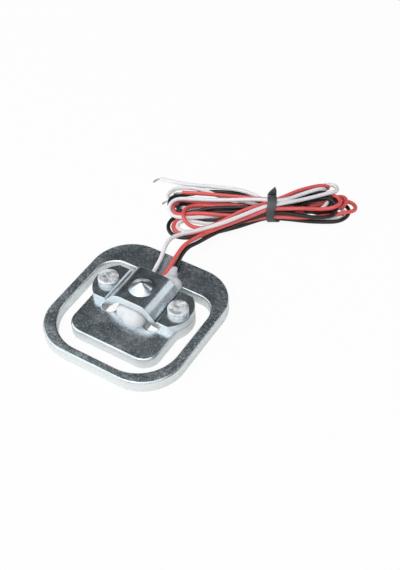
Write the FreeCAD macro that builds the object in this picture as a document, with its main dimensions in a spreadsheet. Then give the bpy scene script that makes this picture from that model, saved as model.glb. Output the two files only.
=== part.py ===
# Stamped half-bridge weighing load cell with its three wires tied in a hank.
# Millimetres, plate centre at the origin. X runs along the bridge, Y from the tongue's tip to the wires, Z up.

import math
import os

import FreeCAD
import Part
import Sketcher

SIZES = {
    # spring plate
    "plate_width": 34.0,
    "plate_length": 35.0,
    "plate_thickness": 2.7,
    "plate_corner": 9.7,
    "die_roll": 0.45,
    "side_bar": 2.5,
    "front_bar": 2.1,
    "back_bar": 7.4,
    "window_front_corner": 9.2,
    "window_back_corner": 4.6,
    "tongue_width": 22.0,
    "tongue_gap": 3.9,
    "tongue_corner": 3.8,
    "neck_width": 7.7,
    "neck_slot_reach": 6.25,
    "slot_roundness": 0.4,
    "root_corner": 1.0,
    "ear_corner": 0.6,
    "ear_joint": 1.2,
    # load bridge
    "bridge_offset": 2.75,
    "bridge_depth": 10.1,
    "bridge_sheet": 1.8,
    "ear_overhang": 1.2,
    "ear_flatness": 1.1,
    "ear_flat": 5.85,
    "ear_web": 1.95,
    "crown_height": 7.25,
    "riser_angle": 50.0,
    "shoulder_radius": 3.6,
    "crease_radius": 2.0,
    "crease_depth": 0.3,
    "crease_width": 0.5,
    "trim_margin": 1.0,
    "dome_diameter": 5.4,
    "dome_slope": 30.0,
    "dome_tip_radius": 1.2,
    "dome_skirt": 0.3,
    "dimple_diameter": 4.2,
    "dimple_depth": 1.1,
    "edge_roll": 0.2,
    # rivets
    "rivet_inset": 3.1,
    "rivet_shank": 2.2,
    "rivet_head": 4.7,
    "rivet_height": 1.25,
    "rivet_edge": 0.35,
    "rivet_rim": 0.3,
    "rivet_dish": 0.12,
    "rivet_flare": 0.3,
    # strain gauge
    "carrier_width": 6.2,
    "carrier_length": 9.6,
    "carrier_film": 0.08,
    "foil_film": 0.03,
    "grid_width": 3.0,
    "grid_length": 2.6,
    "grid_spacing": 3.4,
    "grid_shift": 2.2,
    "grid_gap": 0.12,
    "grid_pitch": 0.55,
    "grid_turn": 0.3,
    "trace_width": 0.3,
    "pad_width": 1.1,
    "pad_length": 1.2,
    "pad_spacing": 1.6,
    "pad_shift": 3.5,
    "solder_radius": 0.5,
    "core_diameter": 0.45,
    # silicone
    "cover_clearance": 2.55,
    "cover_apron": 2.55,
    "cover_overlap": 0.55,
    "cover_height": 2.2,
    "cover_lip": 1.0,
    "cover_slope": 1.9,
    "cover_corner": 2.3,
    "cover_round": 0.9,
    "bead_left": 1.0,
    "bead_right": 5.2,
    "bead_clearance": 0.1,
    "bead_shoulder": 1.9,
    "bead_waist": 4.4,
    "bead_length": 6.1,
    "bead_tail_left": 0.7,
    "bead_tail_right": 2.1,
    "bead_height": 1.9,
    "bead_corner": 0.8,
    "bead_round": 0.6,
    # wires, hank and tie
    "wire_diameter": 0.95,
    "hank_waist": 5.5,
    "tie_width": 2.3,
    "tie_thickness": 0.4,
    "tie_end": 4.1,
    "tie_slant": 2.0,
}

WIRES = ("white", "red", "black")

# How near two places count as one, and a face normal's z from which it faces up or counts as upright.
SAME_PLACE = 1e-4
UPWARD = 0.3
UPRIGHT = 0.1
# The share of the shorter run at a corner of a wire that its bend may use.
BEND_SHARE = 0.45

# Routes chosen by hand, from the solder pads to the hank.
LEAD_ROUTES = {
    "white": [
        (-1.6, 7.2, 3.5),
        (-2.1, 9.4, 3.75),
        (-2.35, 11.6, 4.3),
        (-2.45, 13.7, 5.0),
        (-3.2, 16.0, 5.45),
        (-3.85, 18.6, 5.4),
        (-3.75, 20.6, 5.15),
        (-2.4, 23.1, 4.75),
        (-0.25, 25.6, 4.6),
        (2.3, 28.7, 4.75),
        (4.35, 31.6, 4.85),
        (6.8, 35.6, 5.0),
        (8.7, 39.6, 5.1),
    ],
    "red": [
        (0.0, 7.4, 3.7),
        (0.3, 9.6, 3.9),
        (0.45, 11.8, 4.2),
        (0.35, 13.8, 4.75),
        (0.1, 16.2, 5.05),
        (-0.15, 18.7, 5.1),
        (0.0, 20.9, 4.9),
        (0.5, 23.0, 4.55),
        (1.2, 25.3, 4.2),
        (2.4, 28.5, 3.74),
        (4.95, 32.85, 3.65),
        (7.35, 36.2, 3.85),
        (9.0, 38.75, 4.4),
    ],
    "black": [
        (1.6, 7.4, 3.35),
        (1.55, 9.8, 3.4),
        (1.35, 12.2, 3.45),
        (1.1, 14.4, 3.6),
        (0.65, 16.2, 3.95),
        (0.35, 18.7, 4.15),
        (0.5, 20.8, 4.05),
        (1.15, 22.5, 3.8),
        (1.7, 24.5, 3.5),
        (2.4, 27.9, 2.8),
        (4.85, 33.0, 2.6),
        (6.75, 35.6, 2.9),
        (9.2, 38.4, 2.85),
    ],
}

# Routes chosen by hand, from inside the hank to where the insulation ends.
TAIL_ROUTES = {
    "white": [
        (7.4, 42.7, 3.6),
        (4.1, 44.0, 3.0),
        (0.4, 44.4, 2.4),
        (-4.0, 44.1, 1.6),
        (-9.7, 42.3, 1.0),
        (-15.55, 40.6, 0.6),
        (-20.2, 39.95, 0.52),
    ],
    "red": [(2.1, 41.5, 2.7), (-1.7, 41.1, 2.3), (-6.0, 39.9, 1.9), (-12.2, 37.45, 1.6)],
    "black": [(-8.6, 35.6, 1.8), (-11.6, 35.0, 1.1), (-14.05, 34.1, 0.65)],
}

# Where each bared tip ends.
TIP_ENDS = {
    "white": [(-20.95, 39.75, 0.45), (-21.2, 38.2, 0.35)],
    "red": [(-13.1, 36.85, 1.45), (-14.0, 36.2, 1.3)],
    "black": [(-14.75, 33.6, 0.5), (-14.9, 32.6, 0.4)],
}

# The hank lies along a line turned about the tie: station, sideways shift, half width, height.
HANK_TIE = (10.1, 41.65)
HANK_TURN = 30.0
HANK_LEFT = [(-25.1, 0.9, 2.6, 2.2), (-23.0, 1.0, 3.9, 2.8), (-16.0, 0.9, 5.0, 3.7), (-8.0, 0.3, 4.0, 4.6)]
HANK_RIGHT = [(7.0, 1.2, 3.8, 4.8), (13.0, 2.6, 4.6, 4.2), (17.0, 2.8, 3.8, 3.4), (19.7, 2.8, 2.4, 2.6)]

doc = FreeCAD.newDocument("load_cell")
sheet = doc.addObject("Spreadsheet::Sheet", "Sizes")


def fill_sheet():
    for row, (name, value) in enumerate(SIZES.items(), start=1):
        sheet.set(f"A{row}", name)
        sheet.set(f"B{row}", str(value))
        sheet.setAlias(f"B{row}", name)
    doc.recompute()


def measure(expression):
    """The value of an expression over the sheet, as a plain number."""
    value = sheet.evalExpression(expression)
    return float(getattr(value, "Value", value))


def new_body(label, x="0", y="0", z="0"):
    body = doc.addObject("PartDesign::Body", label)
    body.Label = label
    for axis, expression in zip("xyz", (x, y, z)):
        body.setExpression(f"Placement.Base.{axis}", expression)
    return body


def origin_feature(body, role):
    return next(item for item in body.Origin.OriginFeatures if item.Role == role)


def new_sketch(body, name, plane="XY_Plane", lift="0"):
    sketch = body.newObject("Sketcher::SketchObject", name)
    sketch.AttachmentSupport = [(origin_feature(body, plane), "")]
    sketch.MapMode = "FlatFace"
    sketch.setExpression("AttachmentOffset.Base.z", lift)
    return sketch


def bind(sketch, kind, place, expression):
    """Adds a dimension to a sketch and ties its value to the sheet."""
    index = sketch.addConstraint(Sketcher.Constraint(kind, *place, measure(expression)))
    sketch.setExpression(f"Constraints[{index}]", expression)


def arc_between(start, end, radius):
    """The shorter arc from start to end, turning left."""
    chord = end - start
    middle = (start + end) * 0.5
    left = FreeCAD.Vector(-chord.y, chord.x, 0).normalize()
    rise = math.sqrt(radius**2 - (chord.Length / 2) ** 2)
    centre = middle + left * rise
    circle = Part.Circle(centre, FreeCAD.Vector(0, 0, 1), radius)
    first = math.atan2(start.y - centre.y, start.x - centre.x)
    last = math.atan2(end.y - centre.y, end.x - centre.x)
    return Part.ArcOfCircle(circle, first, last)


def draw_outline(sketch, corners):
    """A closed outline. A corner is x, y and, where the edge after it turns left in an arc, its radius."""
    spots = [FreeCAD.Vector(measure(corner[0]), measure(corner[1]), 0) for corner in corners]
    edges = []
    for index, corner in enumerate(corners):
        start = spots[index]
        end = spots[(index + 1) % len(spots)]
        if len(corner) == 3:
            edges.append(sketch.addGeometry(arc_between(start, end, measure(corner[2])), False))
        else:
            edges.append(sketch.addGeometry(Part.LineSegment(start, end), False))
    for index, edge in enumerate(edges):
        following = edges[(index + 1) % len(edges)]
        sketch.addConstraint(Sketcher.Constraint("Coincident", edge, 2, following, 1))
    for edge, corner in zip(edges, corners):
        bind(sketch, "DistanceX", (edge, 1), corner[0])
        bind(sketch, "DistanceY", (edge, 1), corner[1])
        if len(corner) == 3:
            bind(sketch, "Radius", (edge,), corner[2])


def draw_rectangle(sketch, left, right, low, high):
    draw_outline(sketch, [(left, low), (right, low), (right, high), (left, high)])


def draw_circle(sketch, x, y, diameter):
    centre = FreeCAD.Vector(measure(x), measure(y), 0)
    circle = Part.Circle(centre, FreeCAD.Vector(0, 0, 1), measure(diameter) / 2)
    edge = sketch.addGeometry(circle, False)
    bind(sketch, "DistanceX", (edge, 3), x)
    bind(sketch, "DistanceY", (edge, 3), y)
    bind(sketch, "Diameter", (edge,), diameter)


def pad(body, sketch, length, symmetric=False):
    feature = body.newObject("PartDesign::Pad", sketch.Name + "_pad")
    feature.Profile = sketch
    feature.SideType = "Symmetric" if symmetric else "One side"
    feature.setExpression("Length", length)
    doc.recompute()
    return feature


def pocket_through(body, sketch):
    feature = body.newObject("PartDesign::Pocket", sketch.Name + "_pocket")
    feature.Profile = sketch
    feature.SideType = "Symmetric"
    feature.Type = "ThroughAll"
    doc.recompute()
    return feature


def revolve(body, sketch, kind="Revolution"):
    feature = body.newObject("PartDesign::" + kind, sketch.Name + "_turn")
    feature.Profile = sketch
    feature.ReferenceAxis = (sketch, ["V_Axis"])
    feature.Angle = 360
    doc.recompute()
    return feature


def mirror_across_centre(body, feature):
    copy = body.newObject("PartDesign::Mirrored", feature.Name + "_mirrored")
    copy.Originals = [feature]
    copy.MirrorPlane = (origin_feature(body, "YZ_Plane"), [""])
    body.Tip = copy
    doc.recompute()
    return copy


def edges_where(feature, test):
    return [f"Edge{n}" for n, edge in enumerate(feature.Shape.Edges, start=1) if test(edge)]


def dress(body, kind, feature, name, edges, size):
    """A fillet or chamfer on the named edges of the feature."""
    rounding = body.newObject("PartDesign::" + kind, name)
    rounding.Base = (feature, edges)
    rounding.setExpression("Radius" if kind == "Fillet" else "Size", size)
    body.Tip = rounding
    doc.recompute()
    return rounding


def lies_on(edge, **place):
    """True where every end of the edge has the given x, y or z."""
    spots = [vertex.Point for vertex in edge.Vertexes]
    wanted = [(spot, axis, value) for spot in spots for axis, value in place.items()]
    return all(abs(getattr(spot, axis) - value) < SAME_PLACE for spot, axis, value in wanted)


def upper_rim(feature):
    """The edges between an upward face and an upright one."""

    def meets(edge):
        middle = edge.valueAt((edge.FirstParameter + edge.LastParameter) / 2)
        faces = feature.Shape.ancestorsOfType(edge, Part.Face)
        tilts = [face.normalAt(*face.Surface.parameter(middle)).z for face in faces]
        return max(tilts) > UPWARD and min(abs(tilt) for tilt in tilts) < UPRIGHT

    return edges_where(feature, meets)


def round_uprights(body, feature, name, spots, radius):
    """Fillets the upright edges that stand at the spots and at their mirror images across the centre."""
    places = [(side * measure(x), measure(y)) for x, y in spots for side in (1, -1)]
    edges = edges_where(feature, lambda edge: any(lies_on(edge, x=x, y=y) for x, y in places))
    return dress(body, "Fillet", feature, name, edges, radius)


def mirrored(corners):
    return [(f"-({corner[0]})", *corner[1:]) for corner in reversed(corners)]


EAR_REACH = "(Sizes.tongue_width / 2 + Sizes.ear_overhang)"
EAR_RADIUS = "(Sizes.bridge_depth / 2 + Sizes.ear_flatness)"
EAR_CENTRE = f"({EAR_REACH} - {EAR_RADIUS})"
EAR_TURN = f"({EAR_CENTRE} + sqrt({EAR_RADIUS} ^ 2 - Sizes.bridge_depth ^ 2 / 4))"
RIVET_PLACE = f"({EAR_REACH} - Sizes.rivet_inset)"
CREASE = f"({EAR_REACH} - Sizes.ear_flat)"
BRIDGE_BACK = "(Sizes.bridge_offset + Sizes.bridge_depth / 2)"
EAR_TOP = "(Sizes.plate_thickness + Sizes.bridge_sheet)"
GAUGE_BASE = "(Sizes.plate_thickness + Sizes.carrier_film)"
GAUGE_TOP = f"({GAUGE_BASE} + Sizes.foil_film)"
PAD_Y = "(Sizes.bridge_offset + Sizes.pad_shift)"


def make_spring_plate():
    body = new_body("spring_plate")
    half_width = "Sizes.plate_width / 2"
    half_length = "Sizes.plate_length / 2"
    window_side = f"({half_width} - Sizes.side_bar)"
    window_front = f"(Sizes.front_bar - {half_length})"
    window_back = f"({half_length} - Sizes.back_bar)"
    tongue_side = "(Sizes.tongue_width / 2)"
    tongue_front = f"({window_front} + Sizes.tongue_gap)"
    ear_foot = f"(Sizes.bridge_offset - sqrt({EAR_RADIUS} ^ 2 - ({tongue_side} - {EAR_CENTRE}) ^ 2))"
    neck_side = "(Sizes.neck_width / 2)"
    slot_side = f"({RIVET_PLACE} - Sizes.ear_web)"
    slot_round = f"({slot_side} - {neck_side}) * Sizes.slot_roundness"
    slot_front = "(Sizes.bridge_offset - Sizes.neck_slot_reach)"

    blank = new_sketch(body, "plate_blank")
    draw_rectangle(blank, f"-{half_width}", half_width, f"-{half_length}", half_length)
    pad(body, blank, "Sizes.plate_thickness")

    right_half = [
        (tongue_side, tongue_front),
        (tongue_side, ear_foot, EAR_RADIUS),
        (EAR_TURN, BRIDGE_BACK),
        (slot_side, BRIDGE_BACK),
        (slot_side, slot_front),
        (neck_side, slot_front),
        (neck_side, window_back),
        (window_side, window_back),
        (window_side, window_front),
    ]
    left_half = [
        (f"-{window_side}", window_front),
        (f"-{window_side}", window_back),
        (f"-{neck_side}", window_back),
        (f"-{neck_side}", slot_front),
        (f"-{slot_side}", slot_front),
        (f"-{slot_side}", BRIDGE_BACK),
        (f"-{EAR_TURN}", BRIDGE_BACK, EAR_RADIUS),
        (f"-{tongue_side}", ear_foot),
        (f"-{tongue_side}", tongue_front),
    ]
    window = new_sketch(body, "window")
    draw_outline(window, right_half + left_half)
    plate = pocket_through(body, window)

    front_ends = [(window_side, window_front)]
    plate = round_uprights(body, plate, "window_front", front_ends, "Sizes.window_front_corner")
    back_ends = [(window_side, window_back)]
    plate = round_uprights(body, plate, "window_back", back_ends, "Sizes.window_back_corner")
    outer_corners = [(half_width, half_length), (half_width, f"-{half_length}")]
    plate = round_uprights(body, plate, "plate_corners", outer_corners, "Sizes.plate_corner")
    plate = round_uprights(body, plate, "tongue_tip", [(tongue_side, tongue_front)], "Sizes.tongue_corner")
    slot_ends = [(slot_side, slot_front), (neck_side, slot_front)]
    plate = round_uprights(body, plate, "slot_ends", slot_ends, slot_round)
    plate = round_uprights(body, plate, "neck_root", [(neck_side, window_back)], "Sizes.root_corner")
    ear_ends = [(slot_side, BRIDGE_BACK), (EAR_TURN, BRIDGE_BACK)]
    plate = round_uprights(body, plate, "ear_ends", ear_ends, "Sizes.ear_corner")
    plate = round_uprights(body, plate, "ear_feet", [(tongue_side, ear_foot)], "Sizes.ear_joint")

    holes = new_sketch(body, "rivet_holes")
    for side in ("", "-"):
        draw_circle(holes, side + RIVET_PLACE, "Sizes.bridge_offset", "Sizes.rivet_shank")
    plate = pocket_through(body, holes)
    hole_rims = edges_where(plate, lambda edge: lies_on(edge, z=0) and edge.isClosed())
    plate = dress(body, "Chamfer", plate, "rivet_seats", hole_rims, "Sizes.rivet_flare")

    top = measure("Sizes.plate_thickness")
    rim = edges_where(plate, lambda edge: lies_on(edge, z=top) and not edge.isClosed())
    dress(body, "Fillet", plate, "die_rolled_rim", rim, "Sizes.die_roll")
    return body


def make_load_bridge():
    body = new_body("load_bridge", y="Sizes.bridge_offset")
    half_depth = "Sizes.bridge_depth / 2"
    crown = "Sizes.crown_height"
    under_crown = "(Sizes.crown_height - Sizes.bridge_sheet)"
    lean = "tan(Sizes.riser_angle)"
    slant = "(Sizes.bridge_sheet / sin(Sizes.riser_angle))"
    shoulder = f"({CREASE} - ({crown} - {EAR_TOP}) / {lean})"
    under_crease = f"({CREASE} + Sizes.bridge_sheet / {lean} - {slant})"
    under_shoulder = f"({CREASE} - ({under_crown} - {EAR_TOP}) / {lean} - {slant})"

    upper = [(EAR_REACH, EAR_TOP), (CREASE, EAR_TOP), (shoulder, crown)]
    seat = "Sizes.plate_thickness"
    lower = [(EAR_REACH, seat), (under_crease, seat), (under_shoulder, under_crown)]
    strip = new_sketch(body, "strip", "XZ_Plane")
    draw_outline(strip, upper + mirrored(upper) + [(f"-({x})", z) for x, z in lower] + lower[::-1])
    bridge = pad(body, strip, "Sizes.bridge_depth", symmetric=True)

    def round_bends(feature, name, x, z, radius):
        places = [(side * measure(x), measure(z)) for side in (1, -1)]
        edges = edges_where(feature, lambda edge: any(lies_on(edge, x=px, z=pz) for px, pz in places))
        return dress(body, "Fillet", feature, name, edges, radius)

    bridge = round_bends(bridge, "shoulders", shoulder, crown, "Sizes.shoulder_radius")
    inner_radius = "Sizes.shoulder_radius - Sizes.bridge_sheet"
    bridge = round_bends(bridge, "inner_shoulders", under_shoulder, under_crown, inner_radius)
    bridge = round_bends(bridge, "outer_creases", under_crease, seat, "Sizes.crease_radius")

    trim = new_sketch(body, "ear_trim")
    beyond = f"({EAR_REACH} + Sizes.trim_margin)"
    beside = f"({half_depth} + Sizes.trim_margin)"
    draw_outline(
        trim,
        [
            (EAR_TURN, f"-{half_depth}", EAR_RADIUS),
            (EAR_TURN, half_depth),
            (EAR_TURN, beside),
            (beyond, beside),
            (beyond, f"-{beside}"),
            (EAR_TURN, f"-{beside}"),
        ],
    )
    bridge = mirror_across_centre(body, pocket_through(body, trim))
    bridge = dress(body, "Fillet", bridge, "rolled_rim", upper_rim(bridge), "Sizes.edge_roll")

    coin = new_sketch(body, "coined_crease", "XZ_Plane")
    groove_edge = f"({CREASE} + Sizes.crease_width)"
    draw_outline(
        coin,
        [(CREASE, EAR_TOP), (CREASE, f"({EAR_TOP} - Sizes.crease_depth)"), (groove_edge, EAR_TOP)],
    )
    bridge = mirror_across_centre(body, pocket_through(body, coin))

    holes = new_sketch(body, "ear_holes")
    for side in ("", "-"):
        draw_circle(holes, side + RIVET_PLACE, "0", "Sizes.rivet_shank")
    pocket_through(body, holes)

    rim = "(Sizes.dome_diameter / 2)"
    tip_x = "(Sizes.dome_tip_radius * sin(Sizes.dome_slope))"
    tip_z = f"({crown} + ({rim} - {tip_x}) * tan(Sizes.dome_slope))"
    apex = f"({tip_z} + Sizes.dome_tip_radius * (1 - cos(Sizes.dome_slope)))"
    root = f"({crown} - Sizes.bridge_sheet / 2)"
    dome = new_sketch(body, "dome", "XZ_Plane")
    foot = f"({rim} + Sizes.dome_skirt)"
    skirt = (f"({rim} - Sizes.dome_skirt)", f"({crown} + Sizes.dome_skirt * tan(Sizes.dome_slope))")
    nose = (tip_x, tip_z, "Sizes.dome_tip_radius")
    draw_outline(dome, [("0", root), (foot, root), (foot, crown), skirt, nose, ("0", apex)])
    revolve(body, dome)
    dimple = new_sketch(body, "dimple", "XZ_Plane")
    dimple_top = f"({under_crown} + Sizes.dimple_depth)"
    draw_outline(dimple, [("0", under_crown), ("Sizes.dimple_diameter / 2", under_crown), ("0", dimple_top)])
    revolve(body, dimple, "Groove")
    return body


def make_rivets():
    rivet = new_body("rivet", RIVET_PLACE, "Sizes.bridge_offset")
    shank = "(Sizes.rivet_shank / 2)"
    head = "(Sizes.rivet_head / 2)"
    top = f"({EAR_TOP} + Sizes.rivet_height)"
    flat = f"({head} - Sizes.rivet_edge)"
    profile = new_sketch(rivet, "rivet_profile", "XZ_Plane")
    draw_outline(
        profile,
        [
            ("0", "0"),
            (f"({shank} + Sizes.rivet_flare)", "0"),
            (shank, "Sizes.rivet_flare"),
            (shank, EAR_TOP),
            (head, EAR_TOP),
            (head, f"({top} - Sizes.rivet_edge)", "Sizes.rivet_edge"),
            (flat, top),
            (f"({flat} - Sizes.rivet_rim)", top),
            ("0", f"({top} - Sizes.rivet_dish)"),
        ],
    )
    revolve(rivet, profile)
    twin = doc.addObject("Part::Mirroring", "rivet_twin")
    twin.Source = rivet
    twin.Normal = FreeCAD.Vector(1, 0, 0)
    pair = doc.addObject("Part::Compound", "rivets")
    pair.Links = [rivet, twin]
    return pair


def make_gauge_carrier():
    body = new_body("gauge_carrier", y="Sizes.bridge_offset", z="Sizes.plate_thickness")
    film = new_sketch(body, "film")
    half_width = "Sizes.carrier_width / 2"
    half_length = "Sizes.carrier_length / 2"
    draw_rectangle(film, f"-{half_width}", half_width, f"-{half_length}", half_length)
    pad(body, film, "Sizes.carrier_film")
    return body


def make_gauge_foil():
    """Two folded grids in line, with three solder pads behind them, joined by traces."""
    body = new_body("gauge_foil", y="Sizes.bridge_offset", z=GAUGE_BASE)
    half_width = "(Sizes.grid_width / 2)"
    pad_low = "(Sizes.pad_shift - Sizes.pad_length / 2)"
    pad_high = "(Sizes.pad_shift + Sizes.pad_length / 2)"
    grid_rows = {
        "front_grid": "(-Sizes.grid_shift)",
        "back_grid": "(Sizes.grid_spacing - Sizes.grid_shift)",
    }

    pads = new_sketch(body, "solder_pads")
    for step in (-1, 0, 1):
        left = f"({step} * Sizes.pad_spacing - Sizes.pad_width / 2)"
        draw_rectangle(pads, left, f"({left} + Sizes.pad_width)", pad_low, pad_high)
    body.AllowCompound = True
    pad(body, pads, "Sizes.foil_film")

    for name, centre in grid_rows.items():
        low = f"({centre} - Sizes.grid_length / 2)"
        high = f"({centre} + Sizes.grid_length / 2)"
        grid = new_sketch(body, name)
        draw_rectangle(grid, f"-{half_width}", half_width, low, high)
        pad(body, grid, "Sizes.foil_film")
        turns = [(low, f"({high} - Sizes.grid_turn)"), (f"({low} + Sizes.grid_turn)", high)] * 2
        for step, (start, end) in enumerate(turns):
            left = f"({step - 1.5} * Sizes.grid_pitch - Sizes.grid_gap / 2)"
            slit = new_sketch(body, f"{name}_slit_{step}")
            draw_rectangle(slit, left, f"({left} + Sizes.grid_gap)", start, end)
            pocket_through(body, slit)

    traces = {
        "left_trace": (f"-{half_width}", grid_rows["front_grid"]),
        "middle_trace": ("(Sizes.trace_width / 2)", grid_rows["back_grid"]),
        "right_trace": (f"({half_width} + Sizes.trace_width)", grid_rows["front_grid"]),
    }
    for name, (right, start) in traces.items():
        trace = new_sketch(body, name)
        draw_rectangle(trace, f"({right} - Sizes.trace_width)", right, start, "Sizes.pad_shift")
        pad(body, trace, "Sizes.foil_film")
    return body


def bend_radii(points):
    """The largest arc that each corner of a route has room for."""
    radii = []
    for before, corner, after in zip(points, points[1:], points[2:]):
        turn = (corner - before).getAngle(after - corner)
        shorter = min((corner - before).Length, (after - corner).Length)
        radii.append(BEND_SHARE * shorter / math.tan(turn / 2))
    return radii


def route_wire(points):
    """Straight runs joined by tangent arcs."""
    edges = []
    start = points[0]
    for before, corner, after, radius in zip(points, points[1:], points[2:], bend_radii(points)):
        back = (before - corner).normalize()
        onward = (after - corner).normalize()
        half_turn = (corner - before).getAngle(after - corner) / 2
        tangent = radius * math.tan(half_turn)
        inward = (back + onward).normalize()
        middle = corner + inward * (radius / math.cos(half_turn) - radius)
        edges.append(Part.LineSegment(start, corner + back * tangent).toShape())
        edges.append(Part.Arc(corner + back * tangent, middle, corner + onward * tangent).toShape())
        start = corner + onward * tangent
    edges.append(Part.LineSegment(start, points[-1]).toShape())
    return Part.Wire(edges)


def sweep_tube(name, route, diameter):
    """A round tube along a route, its diameter tied to the sheet."""
    points = [FreeCAD.Vector(*point) for point in route]
    spine = doc.addObject("Part::Feature", name + "_spine")
    spine.Shape = route_wire(points)
    section = doc.addObject("Part::Circle", name + "_section")
    section.setExpression("Radius", f"{diameter} / 2")
    facing = FreeCAD.Rotation(FreeCAD.Vector(0, 0, 1), points[1] - points[0])
    section.Placement = FreeCAD.Placement(points[0], facing)
    tube = doc.addObject("Part::Sweep", name)
    tube.Sections = [section]
    tube.Spine = (spine, [f"Edge{n}" for n in range(1, len(spine.Shape.Edges) + 1)])
    tube.Solid = True
    doc.recompute()
    radii = [round(radius, 1) for radius in bend_radii(points)]
    expected = math.pi * (measure(diameter) / 2) ** 2 * spine.Shape.Length
    share = tube.Shape.Volume / expected
    print(f"{name}: radii {radii}, length {spine.Shape.Length:.1f}, volume {share:.3f} of expected")
    return tube


def cut(label, base, *tools):
    """What is left of the base where the tools take their room."""
    tool = tools[0]
    if len(tools) > 1:
        tool = doc.addObject("Part::Compound", label + "_room")
        tool.Links = list(tools)
    piece = doc.addObject("Part::Cut", label)
    piece.Label = label
    piece.Base = base
    piece.Tool = tool
    doc.recompute()
    return piece


def hank_place(station, shift, height):
    turn = math.radians(HANK_TURN)
    x = HANK_TIE[0] + station * math.cos(turn) - shift * math.sin(turn)
    y = HANK_TIE[1] + station * math.sin(turn) + shift * math.cos(turn)
    return FreeCAD.Vector(x, y, height)


def make_wire_hank():
    """The outer shape of the folded wires: ovals along the hank, round at the tie."""
    turn = math.radians(HANK_TURN)
    along = FreeCAD.Vector(math.cos(turn), math.sin(turn), 0)
    aside = FreeCAD.Vector(-math.sin(turn), math.cos(turn), 0)
    facing = FreeCAD.Rotation(aside, FreeCAD.Vector(0, 0, 1), along, "XYZ")
    waist = measure("Sizes.hank_waist")
    bottom = measure("Sizes.tie_thickness")
    reach = measure("Sizes.tie_width / 2")
    at_tie = [(side * reach, 0.0, waist / 2, waist) for side in (-1, 1)]
    sections = []
    for station, shift, half_width, height in HANK_LEFT + at_tie + HANK_RIGHT:
        middle = height / 2 + (bottom if abs(station) == reach else 0)
        oval = doc.addObject("Part::Ellipse", "hank_oval")
        oval.MajorRadius = max(half_width, height / 2)
        oval.MinorRadius = height / 2
        oval.Placement = FreeCAD.Placement(hank_place(station, shift, middle), facing)
        sections.append(oval)
    hank = doc.addObject("Part::Loft", "wire_hank")
    hank.Sections = sections
    hank.Solid = True
    hank.Ruled = True
    return hank


def make_hank_tie():
    """A flat band round the waist, with its pointed end standing up behind."""
    body = doc.addObject("PartDesign::Body", "hank_tie")
    band = new_sketch(body, "band", "YZ_Plane")
    inner = "Sizes.hank_waist"
    outer = "(Sizes.hank_waist + 2 * Sizes.tie_thickness)"
    centre = f"({outer} / 2)"
    draw_circle(band, "0", centre, inner)
    draw_circle(band, "0", centre, outer)
    pad(body, band, "Sizes.tie_width", symmetric=True)
    end = new_sketch(body, "pointed_end", "XZ_Plane", f"-{inner} / 2")
    half = "Sizes.tie_width / 2"
    tip = f"({centre} + Sizes.tie_end)"
    draw_outline(
        end, [(f"-{half}", centre), (half, centre), (half, tip), (f"-{half}", f"({tip} - Sizes.tie_slant)")]
    )
    raised = pad(body, end, "Sizes.tie_thickness")
    raised.Reversed = True
    facing = FreeCAD.Rotation(FreeCAD.Vector(0, 0, 1), HANK_TURN)
    body.Placement = FreeCAD.Placement(hank_place(0, 0, 0), facing)
    return body


def make_silicone():
    """A pillow over the gauge, and the bead that runs back round the wires."""
    pillow_body = new_body("silicone_pillow", y="Sizes.bridge_offset", z="Sizes.plate_thickness")
    front = "(-Sizes.bridge_depth / 2 - Sizes.cover_apron)"
    back = "(Sizes.bridge_depth / 2 + Sizes.cover_overlap)"
    brow = f"({front} + Sizes.cover_slope)"
    flank = f"({CREASE} - Sizes.cover_clearance)"
    inset = f"({flank} - Sizes.cover_corner)"
    turn = f"({front} + Sizes.cover_corner)"
    plan = new_sketch(pillow_body, "pillow")
    draw_outline(
        plan,
        [
            (f"-{inset}", front),
            (inset, front, "Sizes.cover_corner"),
            (flank, turn),
            (flank, back),
            (f"-{flank}", back),
            (f"-{flank}", turn, "Sizes.cover_corner"),
        ],
    )
    pad(pillow_body, plan, "Sizes.cover_height")
    slope = new_sketch(pillow_body, "pillow_slope", "YZ_Plane")
    draw_outline(slope, [(front, "Sizes.cover_lip"), (brow, "Sizes.cover_height"), (front, "Sizes.cover_height")])
    pillow = pocket_through(pillow_body, slope)
    brow_place = measure(brow)
    back_place = measure(back)
    rear = edges_where(pillow, lambda edge: lies_on(edge, y=back_place))
    soft = edges_where(pillow, lambda edge: lies_on(edge, y=brow_place))
    soft += [name for name in upper_rim(pillow) if name not in rear]
    dress(pillow_body, "Fillet", pillow, "pillow_flanks", soft, "Sizes.cover_round")

    bead_body = new_body("silicone_bead", y=BRIDGE_BACK, z="Sizes.plate_thickness")
    bead = new_sketch(bead_body, "bead")
    corners = [
        ("-Sizes.bead_left", "Sizes.bead_clearance"),
        ("Sizes.bead_right", "Sizes.bead_clearance"),
        ("Sizes.bead_right", "Sizes.bead_shoulder"),
        ("Sizes.bead_tail_right", "Sizes.bead_waist"),
        ("Sizes.bead_tail_right", "Sizes.bead_length"),
        ("-Sizes.bead_tail_left", "Sizes.bead_length"),
    ]
    draw_outline(bead, corners)
    run = pad(bead_body, bead, "Sizes.bead_height")
    spots = [(measure(x), measure(y)) for x, y in corners[2:]]
    bends = edges_where(run, lambda edge: any(lies_on(edge, x=x, y=y) for x, y in spots))
    run = dress(bead_body, "Fillet", run, "bead_corners", bends, "Sizes.bead_corner")
    top = measure("Sizes.bead_height")
    front = measure("Sizes.bead_clearance")
    brim = edges_where(run, lambda edge: lies_on(edge, z=top) and not lies_on(edge, y=front))
    dress(bead_body, "Fillet", run, "bead_brim", brim, "Sizes.bead_round")

    silicone = doc.addObject("Part::Fuse", "silicone")
    silicone.Base = pillow_body
    silicone.Tool = bead_body
    doc.recompute()
    return silicone


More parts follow.
